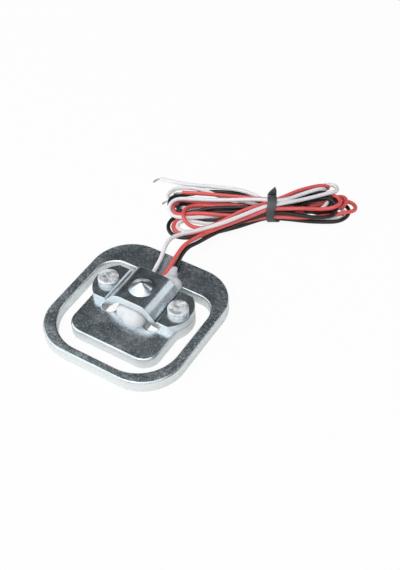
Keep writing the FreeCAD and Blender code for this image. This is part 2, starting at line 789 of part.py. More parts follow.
def make_core(colour, pad_x, lead):
    """The bared strands from a wire's start down to its solder pad."""
    pad_top = f"{GAUGE_TOP} + Sizes.core_diameter / 2"
    pad_spot = FreeCAD.Vector(measure(pad_x), measure(PAD_Y), measure(pad_top))
    start, onward = (FreeCAD.Vector(*point) for point in LEAD_ROUTES[colour][:2])
    reach = start + (onward - start).normalize() * measure("Sizes.core_diameter") - pad_spot
    bare = doc.addObject("Part::Cylinder", colour + "_bare")
    bare.setExpression("Radius", "Sizes.core_diameter / 2")
    bare.Height = reach.Length
    bare.Placement = FreeCAD.Placement(pad_spot, FreeCAD.Rotation(FreeCAD.Vector(0, 0, 1), reach))
    return cut(colour + "_core", bare, lead)


def make_solder_joint(colour, pad_x, core):
    drop = doc.addObject("Part::Sphere", colour + "_drop")
    drop.setExpression("Radius", "Sizes.solder_radius")
    drop.Angle1 = 0
    for axis, expression in zip("xyz", (pad_x, PAD_Y, GAUGE_TOP)):
        drop.setExpression(f"Placement.Base.{axis}", expression)
    return cut("solder_joint_" + colour, drop, core)


def make_wire_end(colour, hank):
    """The insulated tail that leaves the hank, and its bared tip."""
    tail_tube = sweep_tube(colour + "_tail_tube", TAIL_ROUTES[colour], "Sizes.wire_diameter")
    tail = cut(colour + "_tail", tail_tube, hank)
    tip_route = [TAIL_ROUTES[colour][-1]] + TIP_ENDS[colour]
    tip = cut(colour + "_tip", sweep_tube(colour + "_tip_tube", tip_route, "Sizes.core_diameter"), tail)
    return [tail, tip]


def make_wiring(hank):
    """The wires' nodes, and those among them that the silicone covers."""
    covered = []
    ends = []
    for step, colour in zip((-1, 0, 1), WIRES):
        pad_x = f"{step} * Sizes.pad_spacing"
        lead_tube = sweep_tube(colour + "_lead_tube", LEAD_ROUTES[colour], "Sizes.wire_diameter")
        lead = cut(colour + "_lead", lead_tube, hank)
        core = make_core(colour, pad_x, lead)
        covered += [lead, core, make_solder_joint(colour, pad_x, core)]
        ends += make_wire_end(colour, hank)
    return covered, ends


def build():
    fill_sheet()
    plate = make_spring_plate()
    bridge = make_load_bridge()
    rivets = make_rivets()
    carrier = make_gauge_carrier()
    foil = make_gauge_foil()
    hank = make_wire_hank()
    tie = make_hank_tie()
    doc.recompute()
    covered, ends = make_wiring(hank)
    cover = cut("silicone_cover", make_silicone(), carrier, foil, *covered)
    doc.recompute()
    return [plate, bridge, rivets, carrier, foil, cover, hank, tie] + covered + ends


def export(nodes):
    faulty = [item.Name for item in doc.Objects if "Invalid" in item.State or "Error" in item.State]
    faulty += [node.Label for node in nodes if not node.Shape.isValid() or not node.Shape.Solids]
    if faulty:
        raise RuntimeError("not built: " + ", ".join(faulty))
    os.makedirs("parts", exist_ok=True)
    for node in nodes:
        node.Shape.exportStep(f"parts/{node.Label}.step")
        print(node.Label, len(node.Shape.Solids), round(node.Shape.Volume, 3))


export(build())
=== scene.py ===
# Weighing load cell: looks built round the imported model. Metres, +Z up.

import math

import bpy
import numpy as np
from mathutils import Matrix, Quaternion, Vector


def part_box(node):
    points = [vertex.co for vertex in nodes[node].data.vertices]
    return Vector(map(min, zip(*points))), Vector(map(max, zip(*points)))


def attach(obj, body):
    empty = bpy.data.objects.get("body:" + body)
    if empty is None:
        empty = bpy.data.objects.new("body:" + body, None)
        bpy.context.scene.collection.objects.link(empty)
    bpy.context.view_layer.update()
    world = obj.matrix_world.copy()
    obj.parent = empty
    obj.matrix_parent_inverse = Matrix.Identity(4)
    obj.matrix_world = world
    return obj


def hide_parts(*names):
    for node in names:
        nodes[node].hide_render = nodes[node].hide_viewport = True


MM = 0.001
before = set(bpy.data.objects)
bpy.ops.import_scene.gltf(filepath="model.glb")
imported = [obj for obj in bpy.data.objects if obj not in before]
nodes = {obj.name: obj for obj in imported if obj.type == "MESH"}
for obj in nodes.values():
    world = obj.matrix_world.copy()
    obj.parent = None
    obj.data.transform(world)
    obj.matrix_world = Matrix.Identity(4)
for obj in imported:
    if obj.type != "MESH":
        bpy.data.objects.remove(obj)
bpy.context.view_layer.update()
scene = bpy.context.scene

# Camera, from the plate's outline and thickness in the photograph
IMAGE_WIDTH = 400
IMAGE_HEIGHT = 570
FOCAL_PIXELS = 1023.2
SENSOR = 36.0
AZIMUTH = math.radians(34.13)
ELEVATION = math.radians(47.32)
ROLL = math.radians(-3.0)
DISTANCE = 223.16 * MM
ORIGIN_PIXEL = (137.45, 317.21)


def make_camera():
    """Stands where the origin falls on its own pixel, so the lens needs no shift."""
    back = Vector(
        (
            math.sin(AZIMUTH) * math.cos(ELEVATION),
            -math.cos(AZIMUTH) * math.cos(ELEVATION),
            math.sin(ELEVATION),
        )
    )
    level = Vector((math.cos(AZIMUTH), math.sin(AZIMUTH), 0.0))
    upright = back.cross(level)
    right = level * math.cos(ROLL) + upright * math.sin(ROLL)
    up = upright * math.cos(ROLL) - level * math.sin(ROLL)
    across = (ORIGIN_PIXEL[0] - IMAGE_WIDTH / 2) / FOCAL_PIXELS
    above = (IMAGE_HEIGHT / 2 - ORIGIN_PIXEL[1]) / FOCAL_PIXELS
    place = (back - right * across - up * above) * DISTANCE
    data = bpy.data.cameras.new("camera")
    data.sensor_fit = "AUTO"
    data.sensor_width = SENSOR
    data.lens = FOCAL_PIXELS * SENSOR / IMAGE_HEIGHT
    data.clip_start = 0.01
    data.clip_end = 10.0
    camera = bpy.data.objects.new("camera", data)
    turn = Matrix((right, up, back)).transposed().to_4x4()
    camera.matrix_world = Matrix.Translation(place) @ turn
    scene.collection.objects.link(camera)
    scene.camera = camera


# Steps that add nodes to a material or to the world, and the places of a mix node's colours
COLOUR_A = 6
COLOUR_B = 7
COLOUR_RESULT = 2


def feed(look, socket, value):
    """Gives an input a plain value, or links it to another node's output."""
    if isinstance(value, bpy.types.NodeSocket):
        look.node_tree.links.new(value, socket)
    else:
        socket.default_value = value


def add(look, kind, **inputs):
    """A new node with its inputs fed. An input's name has _ in place of a space."""
    node = look.node_tree.nodes.new(kind)
    for name, value in inputs.items():
        feed(look, node.inputs[name.replace("_", " ")], value)
    return node


def value_step(look, operation, first, second=0.0):
    """One step of arithmetic. Each value is a number or a node's output."""
    node = add(look, "ShaderNodeMath")
    node.operation = operation
    feed(look, node.inputs[0], first)
    feed(look, node.inputs[1], second)
    return node.outputs["Value"]


def vector_step(look, operation, first, second=(0.0, 0.0, 0.0)):
    """The same for vectors. A length or a dot product comes out as a plain value."""
    node = add(look, "ShaderNodeVectorMath")
    node.operation = operation
    feed(look, node.inputs[0], first)
    feed(look, node.inputs[1], second)
    return node.outputs["Value" if operation in ("LENGTH", "DOT_PRODUCT") else "Vector"]


def axes(look, vector):
    """A vector's parts, by the names X, Y and Z."""
    return add(look, "ShaderNodeSeparateXYZ", Vector=vector).outputs


def place_texture(look, stretch=(1.0, 1.0, 1.0)):
    """Where a texture is read: the row frame in metres, stretched along its axes."""
    where = add(look, "ShaderNodeTexCoord").outputs["Object"]
    return add(look, "ShaderNodeMapping", Vector=where, Scale=stretch).outputs["Vector"]


def noise(look, scale, detail=3.0, roughness=0.55, stretch=(1.0, 1.0, 1.0)):
    where = place_texture(look, stretch)
    texture = add(look, "ShaderNodeTexNoise", Vector=where, Scale=scale, Detail=detail, Roughness=roughness)
    return texture.outputs["Fac"]


def spread(look, value, low, high, start=0.35, end=0.65):
    """Maps a value's range from start to end onto low to high. The default is a texture's middle range."""
    limits = {"From_Min": start, "From_Max": end, "To_Min": low, "To_Max": high}
    return add(look, "ShaderNodeMapRange", Value=value, **limits).outputs["Result"]


def two_tone(look, value, dark, light, start=0.35, end=0.65):
    ramp = add(look, "ShaderNodeValToRGB", Fac=value)
    for stop, place, tone in zip(ramp.color_ramp.elements, (start, end), (dark, light)):
        stop.position = place
        stop.color = (*tone, 1.0)
    return ramp.outputs["Color"]


def mix_values(look, share, first, second):
    """first where the share is 0, second where it is 1."""
    return add(look, "ShaderNodeMix", Factor=share, A=first, B=second).outputs["Result"]


def mix_colours(look, share, first, second, blend="MIX"):
    node = add(look, "ShaderNodeMix", Factor=share)
    node.data_type = "RGBA"
    node.blend_type = blend
    feed(look, node.inputs[COLOUR_A], first)
    feed(look, node.inputs[COLOUR_B], second)
    return node.outputs[COLOUR_RESULT]


def bump(look, shader, height, strength, distance):
    node = add(look, "ShaderNodeBump", Height=height, Strength=strength, Distance=distance)
    feed(look, shader.inputs["Normal"], node.outputs["Normal"])


def new_material(name, metallic=0.0):
    material = bpy.data.materials.new(name)
    material.use_nodes = True
    shader = material.node_tree.nodes["Principled BSDF"]
    shader.inputs["Metallic"].default_value = metallic
    return material, shader


# Plain looks: how far the roughness varies, and how fine and strong the grain is
ROUGH_SPREAD = 0.06
GRAIN_FINENESS = 4
GRAIN_STRENGTH = 0.4


def plain_look(name, dark, light, roughness, metallic=0.0, scale=900.0, grain=0.02 * MM):
    """A fine-grained surface between two close tones."""
    material, shader = new_material(name, metallic)
    cloud = noise(material, scale)
    feed(material, shader.inputs["Base Color"], two_tone(material, cloud, dark, light))
    rough = spread(material, cloud, roughness - ROUGH_SPREAD, roughness + ROUGH_SPREAD)
    feed(material, shader.inputs["Roughness"], rough)
    bump(material, shader, noise(material, scale * GRAIN_FINENESS), GRAIN_STRENGTH, grain)
    return material


def insulation_look(name, dark, light, roughness):
    return plain_look(name, dark, light, roughness, scale=160.0, grain=0.003 * MM)


# How much of a surface's normal points up where it counts as steep, and as level
STEEP, LEVEL = 0.25, 0.75
# Zinc plating: tones of the face, the roughness of the sheared walls, and the part of each texture in use
FACE_TONES = ((0.54, 0.62, 0.67), (0.76, 0.84, 0.88))
WALL_ROUGH = (0.34, 0.46)
MOTTLED = (0.35, 0.68)
FLECKED = (0.50, 0.78)
STREAKED = (0.3, 0.7)
FLECK_SCALE = 1500.0
STREAK_SCALE = 1200.0
STREAK_STRETCH = (1.0, 1.0, 6.0)


def facing_up(material):
    """1 where the surface lies level, 0 where it stands upright."""
    surface = add(material, "ShaderNodeNewGeometry")
    upward = value_step(material, "ABSOLUTE", axes(material, surface.outputs["Normal"])["Z"])
    return spread(material, upward, 0.0, 1.0, STEEP, LEVEL)


def plated_look(name, blotch, gloss, fleck, wall_tones, grain=(1.0, 1.0, 1.0)):
    """Zinc-plated steel: a smooth mottled face with dull flecks, and pale sheared walls."""
    material, shader = new_material(name, metallic=1.0)
    up = facing_up(material)
    cloud = noise(material, blotch, detail=6.0, roughness=0.65)
    flecks = noise(material, FLECK_SCALE, detail=4.0, roughness=0.7, stretch=grain)
    streaks = noise(material, STREAK_SCALE, detail=2.0, roughness=0.5, stretch=STREAK_STRETCH)
    face = two_tone(material, cloud, *FACE_TONES, *MOTTLED)
    wall = two_tone(material, streaks, *wall_tones, *STREAKED)
    feed(material, shader.inputs["Base Color"], mix_colours(material, up, wall, face))
    smooth = spread(material, cloud, *gloss, *MOTTLED)
    dull = spread(material, flecks, 0.0, fleck, *FLECKED)
    face_rough = value_step(material, "ADD", smooth, dull)
    wall_rough = spread(material, streaks, *WALL_ROUGH)
    feed(material, shader.inputs["Roughness"], mix_values(material, up, wall_rough, face_rough))
    bump(material, shader, flecks, strength=0.05, distance=0.04 * MM)
    return material


# Wear on the plate: its corner radius, how wide the worn rim is, how much rougher and how metallic it is
# where it is worn most, and the patches in it
PLATE_CORNER = 9.7
EDGE_WIDTH = 3.0
EDGE_DULL = 0.10
EDGE_METAL = 0.90
PATCH_SCALE = 1500.0
PATCHED = (0.42, 0.60)
# A metre, which keeps the height out of the distance to the outline
BELOW_ALL = 1.0


def near_rim(material, low, high):
    """1 at the plate's rounded outline, falling to 0 over the worn width."""
    middle = [(a + b) / 2 for a, b in zip(low, high)]
    reach = [(b - a) / 2 - PLATE_CORNER * MM for a, b in zip(low, high)]
    spot = vector_step(material, "SUBTRACT", place_texture(material), (middle[0], middle[1], 0.0))
    side = vector_step(material, "ABSOLUTE", spot)
    past = vector_step(material, "SUBTRACT", side, (reach[0], reach[1], BELOW_ALL))
    corner = vector_step(material, "LENGTH", vector_step(material, "MAXIMUM", past))
    parts = axes(material, past)
    larger = value_step(material, "MAXIMUM", parts["X"], parts["Y"])
    inside = value_step(material, "MINIMUM", larger)
    outward = value_step(material, "ADD", corner, inside)
    return spread(material, outward, 0.0, 1.0, (PLATE_CORNER - EDGE_WIDTH) * MM, PLATE_CORNER * MM)


def wear_rim(material, low, high):
    """Tumbling has dulled the plate's face in patches, more towards its outer rim."""
    shader = material.node_tree.nodes["Principled BSDF"]
    rim = value_step(material, "MULTIPLY", near_rim(material, low, high), facing_up(material))
    spots = noise(material, PATCH_SCALE, detail=5.0, roughness=0.75)
    worn = value_step(material, "MULTIPLY", spread(material, spots, 0.0, 1.0, *PATCHED), rim)
    rough = shader.inputs["Roughness"].links[0].from_socket
    dull = value_step(material, "MULTIPLY", worn, EDGE_DULL)
    feed(material, shader.inputs["Roughness"], value_step(material, "ADD", rough, dull))
    feed(material, shader.inputs["Metallic"], spread(material, worn, 1.0, EDGE_METAL, 0.0, 1.0))


# Creases of the bridge: how far from the middle they are, and how wide the painted shade in them is
CREASE = 6.35
CREASE_SHADE_CORE = 0.12
CREASE_SHADE_WIDTH = 0.2
# The tone of the painted shade in the creases
CREASE_SHADE_TONE = (0.03, 0.035, 0.04, 1.0)


def paint_crease_shade(material):
    """Painted shade: the base colour darkened in the two lines where the strip is bent up from its feet."""
    shader = material.node_tree.nodes["Principled BSDF"]
    tone = shader.inputs["Base Color"].links[0].from_socket
    side = value_step(material, "ABSOLUTE", axes(material, place_texture(material))["X"])
    away = value_step(material, "ABSOLUTE", value_step(material, "SUBTRACT", side, CREASE * MM))
    near = spread(material, away, 1.0, 0.0, CREASE_SHADE_CORE * MM, CREASE_SHADE_WIDTH * MM)
    share = value_step(material, "MULTIPLY", near, facing_up(material))
    feed(material, shader.inputs["Base Color"], mix_colours(material, share, tone, CREASE_SHADE_TONE))


RIVET_TONES = ((0.58, 0.61, 0.66), (0.95, 0.96, 0.97))
RIVET_CLOUD = (0.34, 0.62)


def rivet_look(name):
    """A satin head, mottled where it was pressed: the darker, the shinier."""
    material, shader = new_material(name)
    cloud = noise(material, scale=1100.0)
    fine = noise(material, scale=3200.0, detail=2.0)
    feed(material, shader.inputs["Base Color"], two_tone(material, cloud, *RIVET_TONES, *RIVET_CLOUD))
    feed(material, shader.inputs["Metallic"], spread(material, cloud, 0.75, 0.10))
    feed(material, shader.inputs["Roughness"], spread(material, cloud, 0.30, 0.52))
    bump(material, shader, fine, strength=0.25, distance=0.04 * MM)
    return material


# Wires: routes repeated from the part, in millimetres
WIRE = 0.95
LEAD_ROUTES = {
    "white": [
        (-1.6, 7.2, 3.5),
        (-2.1, 9.4, 3.75),
        (-2.35, 11.6, 4.3),
        (-2.45, 13.7, 5.0),
        (-3.2, 16.0, 5.45),
        (-3.85, 18.6, 5.4),
        (-3.75, 20.6, 5.15),
        (-2.4, 23.1, 4.75),
        (-0.25, 25.6, 4.6),
        (2.3, 28.7, 4.75),
        (4.35, 31.6, 4.85),
        (6.8, 35.6, 5.0),
        (8.7, 39.6, 5.1),
    ],
    "red": [
        (0.0, 7.4, 3.7),
        (0.3, 9.6, 3.9),
        (0.45, 11.8, 4.2),
        (0.35, 13.8, 4.75),
        (0.1, 16.2, 5.05),
        (-0.15, 18.7, 5.1),
        (0.0, 20.9, 4.9),
        (0.5, 23.0, 4.55),
        (1.2, 25.3, 4.2),
        (2.4, 28.5, 3.74),
        (4.95, 32.85, 3.65),
        (7.35, 36.2, 3.85),
        (9.0, 38.75, 4.4),
    ],
    "black": [
        (1.6, 7.4, 3.35),
        (1.55, 9.8, 3.4),
        (1.35, 12.2, 3.45),
        (1.1, 14.4, 3.6),
        (0.65, 16.2, 3.95),
        (0.35, 18.7, 4.15),
        (0.5, 20.8, 4.05),
        (1.15, 22.5, 3.8),
        (1.7, 24.5, 3.5),
        (2.4, 27.9, 2.8),
        (4.85, 33.0, 2.6),
        (6.75, 35.6, 2.9),
        (9.2, 38.4, 2.85),
    ],
}
TAIL_ROUTES = {
    "white": [
        (7.4, 42.7, 3.6),
        (4.1, 44.0, 3.0),
        (0.4, 44.4, 2.4),
        (-4.0, 44.1, 1.6),
        (-9.7, 42.3, 1.0),
        (-15.55, 40.6, 0.6),
        (-20.2, 39.95, 0.52),
    ],
    "red": [(2.1, 41.5, 2.7), (-1.7, 41.1, 2.3), (-6.0, 39.9, 1.9), (-12.2, 37.45, 1.6)],
    "black": [(-8.6, 35.6, 1.8), (-11.6, 35.0, 1.1), (-14.05, 34.1, 0.65)],
}
TIP_ENDS = {
    "white": [(-20.95, 39.75, 0.45), (-21.2, 38.2, 0.35)],
    "red": [(-13.1, 36.85, 1.45), (-14.0, 36.2, 1.3)],
    "black": [(-14.75, 33.6, 0.5), (-14.9, 32.6, 0.4)],
}

# The hank lies along a line turned about the tie
TIE_SPOT = (10.1, 41.65)
HANK_TURN = math.radians(30.0)
WAIST = 5.5
TIE_THICKNESS = 0.4
TIE_WIDTH = 2.3
WAIST_HEIGHT = TIE_THICKNESS + WAIST / 2

# Folds in order along each wire, right and left by turns: where the fold's tip is along the hank, then
# the place across the hank and the height of the run that comes in, and of the run that goes out
FOLDS = {
    "white": [
        (15.9, 5.0, 3.4, 10.0, 2.2),
        (-22.25, -0.6, 0.5, -5.2, 0.5),
        (17.5, -0.7, 0.5, 5.1, 0.5),
        (-25.25, 10.6, 0.5, 3.4, 0.5),
        (14.0, 1.6, 1.4, 7.3, 1.4),
        (-24.35, -0.2, 0.9, 4.35, 2.7),
        (12.9, 5.4, 4.4, 8.3, 0.5),
    ],
    "red": [
        (16.5, 0.4, 2.8, 5.6, 1.4),
        (-23.45, -0.3, 0.5, -5.7, 0.5),
        (20.15, 0.8, 0.9, 5.4, 0.9),
        (-23.85, 4.4, 1.4, -0.2, 1.4),
        (18.1, 2.0, 2.1, 7.0, 0.5),
        (-21.0, 3.25, 1.8, -4.95, 2.0),
        (13.8, 7.0, 4.1, 10.0, 0.5),
    ],
    "black": [
        (15.6, -1.6, 2.4, 4.8, 2.2),
        (-24.4, 0.8, 0.5, -7.2, 0.5),
        (18.45, -1.0, 0.5, 4.8, 0.5),
        (-22.4, 4.4, 0.9, -0.2, 0.9),
        (15.75, 0.3, 1.4, 6.0, 1.4),
        (-24.6, 1.6, 0.5, 7.0, 0.8),
        (14.4, 6.7, 2.4, 1.4, 0.8),
    ],
}
# Places that a run passes on its way to or from a fold, by the run's place in order along the wire
ON_THE_WAY = {
    ("white", 1): [(5.5, 1.2, 4.7), (10.4, 3.7, 3.9)],
    ("white", 3): [(-12.0, -1.8, 1.0), (-17.5, -2.0, 0.7)],
    ("white", 12): [(-16.6, 3.45, 3.2), (-10.9, 2.7, 3.8), (-5.0, 2.0, 4.7)],
    ("white", 13): [(5.6, 3.0, 4.9)],
    ("red", 1): [(5.5, -0.4, 4.0), (9.6, 0.2, 3.2)],
    ("red", 5): [(13.8, -0.5, 0.9)],
    ("red", 8): [(-16.5, -0.3, 2.0), (-11.5, -1.0, 2.3)],
    ("red", 12): [(-16.3, -5.1, 2.2), (-14.4, -4.75, 2.6), (-11.5, -4.0, 3.4), (-7.0, -1.7, 4.5)],
    ("red", 13): [(5.6, 4.9, 4.6), (9.8, 6.8, 4.2)],
    ("black", 1): [(3.5, -1.5, 3.7), (6.5, -1.75, 3.2), (9.5, -2.3, 2.7)],
    ("black", 3): [(-11.5, -1.7, 1.9), (-14.5, -2.0, 1.4), (-18.3, -0.8, 0.8)],
    ("black", 5): [(5.0, -1.0, 1.2), (9.6, -1.15, 0.55), (13.7, -1.1, 0.5)],
    ("black", 8): [(-14.0, 1.2, 2.4), (-9.0, 0.5, 3.4)],
    ("black", 11): [(-8.9, -0.4, 2.7), (-12.6, -0.4, 2.3), (-17.2, 0.6, 1.2)],
    ("black", 12): [(-19.1, 8.4, 0.6), (-14.0, 9.1, 0.5), (-8.5, 8.5, 0.9), (-4.5, 5.6, 2.2)],
    ("black", 13): [(7.0, 4.2, 3.3)],
}
# The place of each pass in the tie, on its left and on its right where they differ: the ring, counted
# from the middle outward, and the place on that ring
SLOTS = {
    "white": [(2, 3), (1, 5), (2, 8), (1, 7), (2, 12), (2, 9), ((2, 1), (2, 2)), (2, 14)],
    "red": [(2, 4), (2, 11), (2, 6), (1, 6), (1, 4), (0, 0), ((2, 2), (2, 1)), (2, 0)],
    "black": [(2, 5), (1, 3), (2, 7), (2, 10), (1, 1), (1, 2), (1, 0), (2, 13)],
}
# Each ring's radius and number of places, the angle of the first place, and how far out the tie's mouth is
RINGS = ((0.0, 1), (1.325, 8), (2.275, 15))
FIRST_SLOT = math.radians(42.6)
GATE = 1.4
# How far apart a run's points start, and where a fold's points lie on its half circle
RUN_STEP = 2.8
FOLD_ANGLES = np.radians((90, 54, 18, -18, -54, -90))


def hank_to_row(points):
    """From along, across and height in the hank to the row frame."""
    points = np.asarray(points, float)
    along, across = math.cos(HANK_TURN), math.sin(HANK_TURN)
    x = TIE_SPOT[0] + points[:, 0] * along - points[:, 1] * across
    y = TIE_SPOT[1] + points[:, 0] * across + points[:, 1] * along
    return np.stack((x, y, points[:, 2]), axis=1)


def row_to_hank(points):
    points = np.asarray(points, float)
    along, across = math.cos(HANK_TURN), math.sin(HANK_TURN)
    x = points[:, 0] - TIE_SPOT[0]
    y = points[:, 1] - TIE_SPOT[1]
    return np.stack((x * along + y * across, y * along - x * across, points[:, 2]), axis=1)


def gate(slot, side):
    """Where a pass comes out of the tie, on its left (-1) or right (1)."""
    if isinstance(slot[0], tuple):
        slot = slot[0] if side < 0 else slot[1]
    radius, count = RINGS[slot[0]]
    angle = FIRST_SLOT + slot[1] * 2 * math.pi / count
    return (side * GATE, radius * math.cos(angle), WAIST_HEIGHT + radius * math.sin(angle))


def run_points(places):
    """Where the strand starts from between the places, the first and last of them left out."""
    points = []
    for start, end in zip(places, places[1:]):
        start, end = np.array(start, float), np.array(end, float)
        count = max(1, round(np.linalg.norm(end - start) / RUN_STEP))
        points += [tuple(start + (end - start) * step / count) for step in range(1, count + 1)]
    return points[:-1]


def fold_points(fold):
    """Round a fold, from the run that comes in to the run that goes out."""
    tip, start, end = fold[0], np.array(fold[1:3]), np.array(fold[3:5])
    half = np.linalg.norm(end - start) / 2
    reach = math.copysign(half, tip)
    points = []
    for turn in FOLD_ANGLES:
        across, height = (start + end) / 2 + (start - end) / 2 * math.sin(turn)
        points.append((tip - reach + reach * math.cos(turn), across, height))
    return points


def hank_route(colour):
    """One wire in the hank's frame: its lead, its passes and folds, and its tail. The ends are held."""
    route = [tuple(point) for point in row_to_hank(LEAD_ROUTES[colour][:-1])]
    held = [True] * len(route)
    tail = [tuple(point) for point in row_to_hank(TAIL_ROUTES[colour][1:])]
    ends = [fold_points(fold) for fold in FOLDS[colour]] + [tail]
    for turn, slot in enumerate(SLOTS[colour]):
        side = 1 if turn % 2 == 0 else -1
        gates = [gate(slot, -side), gate(slot, side)]
        inward = [route[-1], *ON_THE_WAY.get((colour, 2 * turn), []), gates[0]]
        outward = [gates[1], *ON_THE_WAY.get((colour, 2 * turn + 1), []), ends[turn][0]]
        passing = run_points(inward) + gates + run_points(outward)
        if turn < len(FOLDS[colour]):
            passing += ends[turn]
        route += passing
        held += [False] * len(passing)
    return np.array(route + tail), np.array(held + [True] * len(tail))


# How the strands settle: the share of the push, of the bend and of the way back that each round takes up
ROUNDS = ((0.35, 0.45, 0.015),) * 380 + ((0.2, 0.3, 0.010),) * 120
# Which samples push each other: the rounds between searches, how far along one wire they are apart, and
# how near they are
ROUNDS_PER_SEARCH = 12
SAMPLES_APART = 6
SEARCH_REACH = 2.6 * WIRE
STRAND_GAP = 1.02 * WIRE
# How far past the tie's edge it holds the strands, and what else acts on them
TIE_MOUTH = 0.5
TIGHTEST_BEND = 2.6
SMOOTHING = 0.02
LENGTH_KEEPING = 0.2
WEIGHT = 0.4
TINY = 1e-6


def curve_samples(counts):
    """For each sample of the splines, the first of its three control points, their shares and its wire."""
    first, shares, owner = [], [], []
    start = 0
    for wire, count in enumerate(counts):
        for index in range(start, start + count - 2):
            for t in (1 / 6, 1 / 2, 5 / 6):
                first.append(index)
                shares.append(((1 - t) ** 2 / 2, (1 + 2 * t - 2 * t * t) / 2, t * t / 2))
                owner.append(wire)
        start += count
    return np.array(first), np.array(shares), np.array(owner)


def sample_places(points, first, shares):
    return sum(shares[:, [k]] * points[first + k] for k in range(3))


def close_pairs(samples, owner):
    """Pairs of samples that are near each other, but not along the same stretch of wire."""
    gap = ((samples[:, None, :] - samples[None, :, :]) ** 2).sum(axis=2)
    order = np.arange(len(samples))
    other = owner[:, None] != owner[None, :]
    apart = other | (np.abs(order[:, None] - order[None, :]) > SAMPLES_APART)
    return np.argwhere(np.triu((gap < SEARCH_REACH**2) & apart, 1)).T


def strand_pushes(samples, pairs):
    """How far each sample is pushed by other strands, by the tie and by the floor."""
    push = np.zeros_like(samples)
    line = samples[pairs[0]] - samples[pairs[1]]
    reach = np.linalg.norm(line, axis=1)
    short = np.clip(STRAND_GAP - reach, 0, None)
    shove = line / np.maximum(reach, TINY)[:, None] * (short / 2)[:, None]
    np.add.at(push, pairs[0], shove)
    np.add.at(push, pairs[1], -shove)
    spoke = samples[:, 1:] - np.array((0.0, WAIST_HEIGHT))
    out = np.linalg.norm(spoke, axis=1)
    at_tie = np.abs(samples[:, 0]) < TIE_WIDTH / 2 + TIE_MOUTH
    over = np.where(at_tie, np.clip(out - (WAIST - WIRE) / 2, 0, None), 0)
    push[:, 1:] -= spoke / np.maximum(out, TINY)[:, None] * over[:, None]
    push[:, 2] += np.clip(WIRE / 2 - samples[:, 2] - push[:, 2], 0, None)
    return push


def ease_bends(move, points, corners, bend):
    """Flattens each corner a little, and more where it is deeper than an arc of the tightest bend."""
    chord = points[corners + 1] - points[corners - 1]
    sag = (points[corners - 1] + points[corners + 1]) / 2 - points[corners]
    depth = np.linalg.norm(sag, axis=1)
    allowed = (chord**2).sum(axis=1) / (8 * TIGHTEST_BEND)
    ease = sag * (SMOOTHING + bend * np.clip(1 - allowed / np.maximum(depth, TINY), 0, 1))[:, None]
    np.add.at(move, corners, ease)
    np.add.at(move, corners - 1, -ease / 2)
    np.add.at(move, corners + 1, -ease / 2)


def keep_lengths(move, points, links, spacing):
    """Draws neighbours along a wire back to the distance that they started at."""
    stretch = points[links + 1] - points[links]
    length = np.linalg.norm(stretch, axis=1)
    pull = stretch * ((length - spacing) / np.maximum(length, TINY) * LENGTH_KEEPING)[:, None]
    np.add.at(move, links, pull)
    np.add.at(move, links + 1, -pull)


def settle(routes):
    """Lets the strands push each other apart till they lie beside and on each other, then eases them."""
    counts = [len(points) for points, held in routes]
    breaks = np.cumsum(counts)[:-1]
    points = np.concatenate([points for points, held in routes])
    free = (~np.concatenate([held for points, held in routes])).astype(float)[:, None]
    guess = points.copy()
    links = np.setdiff1d(np.arange(len(points) - 1), breaks - 1)
    corners = np.intersect1d(links, links + 1)
    spacing = np.linalg.norm(points[links + 1] - points[links], axis=1)
    first, shares, owner = curve_samples(counts)
    weight = (shares**2).sum(axis=1)
    for step, (shove, bend, tether) in enumerate(ROUNDS):
        samples = sample_places(points, first, shares)
        if step % ROUNDS_PER_SEARCH == 0:
            pairs = close_pairs(samples, owner)
        push = strand_pushes(samples, pairs)
        move = np.zeros_like(points)
        for k in range(3):
            np.add.at(move, first + k, push * (shares[:, k] / weight)[:, None] * shove)
        ease_bends(move, points, corners, bend)
        keep_lengths(move, points, links, spacing)
        move += (guess - points) * tether
        move[:, 2] -= WEIGHT * tether
        points = points + move * free
    return np.split(points, breaks)


def spline_length(points):
    """The length in metres of the smooth line that the points control."""
    first, shares, _ = curve_samples([len(points)])
    line = np.concatenate((points[:1], sample_places(points, first, shares), points[-1:]))
    return float(np.linalg.norm(np.diff(line, axis=0), axis=1).sum()) * MM


def new_curve(name, lines, diameter, material, steps, roundness):
    """Round smooth lines from control points in millimetres, as one piece."""
    curve = bpy.data.curves.new(name, "CURVE")
    curve.dimensions = "3D"
    for line in lines:
        spline = curve.splines.new("NURBS")
        spline.points.add(len(line) - 1)
        for spot, point in zip(spline.points, np.asarray(line) * MM):
            spot.co = (*point, 1.0)
        spline.order_u = 3
        spline.use_endpoint_u = True
        spline.resolution_u = steps
    curve.bevel_depth = diameter * MM / 2
    curve.bevel_resolution = roundness
    curve.use_fill_caps = True
    curve.materials.append(material)
    piece = bpy.data.objects.new(name, curve)
    scene.collection.objects.link(piece)
    return piece


def make_wire(colour, points, material):
    return new_curve(colour + "_wire", [hank_to_row(points)], WIRE, material, steps=5, roundness=4)


# Bare ends: tinned strands twisted together, with the twist's radius and how far they fray at the end
STRANDS = 5
STRAND = 0.15
STRAND_STEPS = 10
TWIST = math.radians(310.0)
TWIST_RADIUS = 0.11
FRAY = 0.08


def make_strands(colour, material):
    """The bared end of one wire: a few strands, every other one fraying further at the end."""
    start = np.array(TAIL_ROUTES[colour][-1])
    bend, end = (np.array(point) for point in TIP_ENDS[colour])
    side = np.cross(end - start, (0.0, 0.0, 1.0))
    side /= np.linalg.norm(side)
    lines = []
    for strand in range(STRANDS):
        line = []
        for t in np.arange(STRAND_STEPS + 1) / STRAND_STEPS:
            middle = (1 - t) ** 2 * start + 2 * t * (1 - t) * bend + t * t * end
            angle = 2 * math.pi * strand / STRANDS + TWIST * t
            loose = TWIST_RADIUS + FRAY * t**3 * (1 + strand % 2)
            place = middle + side * math.cos(angle) * loose
            place[2] = max(place[2] + loose * math.sin(angle), STRAND / 2)
            line.append(place)
        lines.append(line)
    return new_curve(colour + "_strands", lines, STRAND, material, steps=3, roundness=2)


